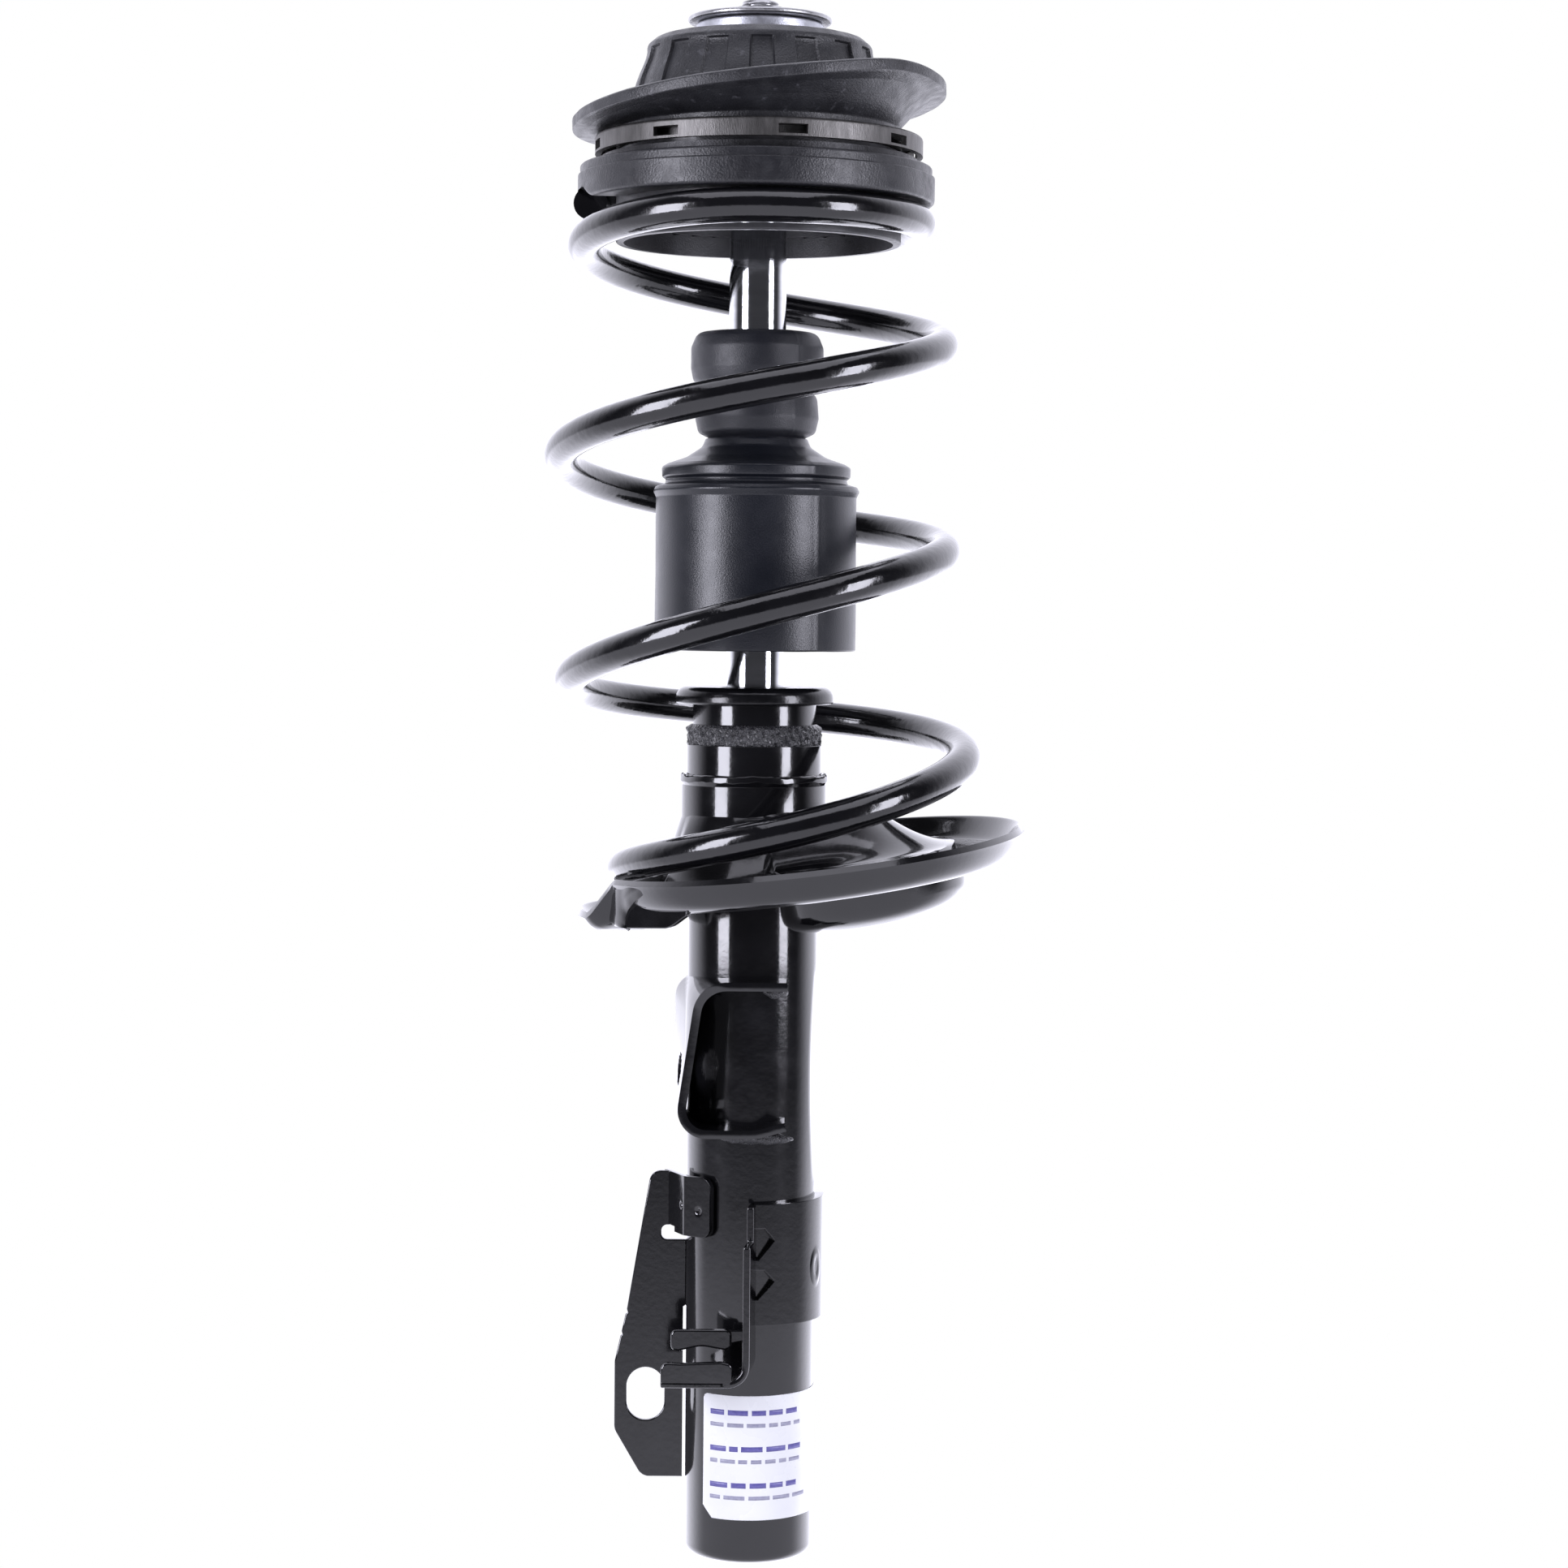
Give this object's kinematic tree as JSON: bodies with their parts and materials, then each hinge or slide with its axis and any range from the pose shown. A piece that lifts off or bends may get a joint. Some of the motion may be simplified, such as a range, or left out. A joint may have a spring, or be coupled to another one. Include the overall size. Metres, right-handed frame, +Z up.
{
  "type": "suspension strut",
  "caption": "Complete car suspension strut: twin-tube damper with welded brackets, offset spring seat, coil spring, bump stop, dust boot, thrust bearing and rubber top mount.",
  "frame": {"origin": "centre of the tube's flat bottom, on the strut's axis", "axes": "+Z up the strut's axis, +X towards the side to which the lower spring seat is offset, -Y towards the side of the link bracket"},
  "size_m": [0.1875, 0.1671, 0.6],
  "materials": {
    "black_paint": "gloss black paint",
    "spring_coat": "gloss black powder coat",
    "weld": "rough painted weld",
    "chrome_rod": "hard chrome, ground",
    "satin_steel": "satin zinc",
    "pale_alloy": "satin cast",
    "bearing_steel": "satin pressed steel",
    "plain_steel": "machined",
    "sintered": "sintered iron",
    "bronze": "satin",
    "mount_rubber": "matte",
    "isolator_rubber": "matte",
    "seal_rubber": "satin",
    "bumper_foam": "satin foam",
    "boot_rubber": "satin",
    "cap_plastic": "gloss black",
    "seat_plastic": "satin black",
    "ptfe": "filled PTFE",
    "label_film": "white film"
  },
  "bodies": {
    "strut_body": {"strut_tube": "black_paint", "base_plug": "black_paint", "base_valve": "sintered", "base_valve_discs": "plain_steel", "inner_cylinder": "plain_steel", "rod_guide": "sintered", "guide_bush": "bronze", "rod_seal": "seal_rubber", "sleeve": "black_paint", "sleeve_weld": "weld", "bump_cap": "cap_plastic", "seat_collar": "black_paint", "lower_seat": "black_paint", "lower_pad": "isolator_rubber", "seat_support": "black_paint", "coil_spring": "spring_coat", "link_bracket": "black_paint", "side_plate": "black_paint", "hose_bracket": "black_paint", "label": "label_film"},
    "spring_seat": {"upper_seat": "seat_plastic", "upper_isolator": "isolator_rubber", "bearing_lower_race": "plain_steel"},
    "ball_set": {"bearing_balls": "plain_steel", "ball_cage": "seat_plastic"},
    "top_mount": {"bearing_case": "bearing_steel", "mount_rubber": "mount_rubber", "mount_plate": "plain_steel", "mount_core": "plain_steel", "mount_collar": "pale_alloy", "rebound_washer": "satin_steel", "top_nut": "satin_steel", "piston_rod": "chrome_rod", "piston": "sintered", "piston_ring": "ptfe", "piston_discs": "plain_steel", "piston_nut": "plain_steel", "rebound_stop": "plain_steel", "rebound_cushion": "seal_rubber"},
    "bumper": {"bump_stop": "bumper_foam", "dust_boot": "boot_rubber"}
  },
  "joints": [
    {"name": "strut_stroke", "type": "slide", "parent": "strut_body", "child": "spring_seat", "axis": [0, 0, 1], "range_m": [-0.13, 0], "stiffness_N_per_m": 28000, "springref_m": 0.04, "deforming": ["coil_spring"]},
    {"name": "steering", "type": "hinge", "parent": "spring_seat", "child": "top_mount", "pos_m": [0, 0, 0.5412], "axis": [0, 0, 1], "range_deg": [-38, 38]},
    {"name": "ball_roll", "type": "hinge", "parent": "spring_seat", "child": "ball_set", "pos_m": [0, 0, 0.5412], "axis": [0, 0, 1], "range_deg": [-19, 19]},
    {"name": "bumper_travel", "type": "slide", "parent": "top_mount", "child": "bumper", "axis": [0, 0, 1], "range_m": [0, 0.065]}
  ],
  "couplings": [
    {"joint": "ball_roll", "follows": "steering", "ratio": 0.5},
    {"joint": "bumper_travel", "follows": "strut_stroke", "ratio": -0.5}
  ]
}
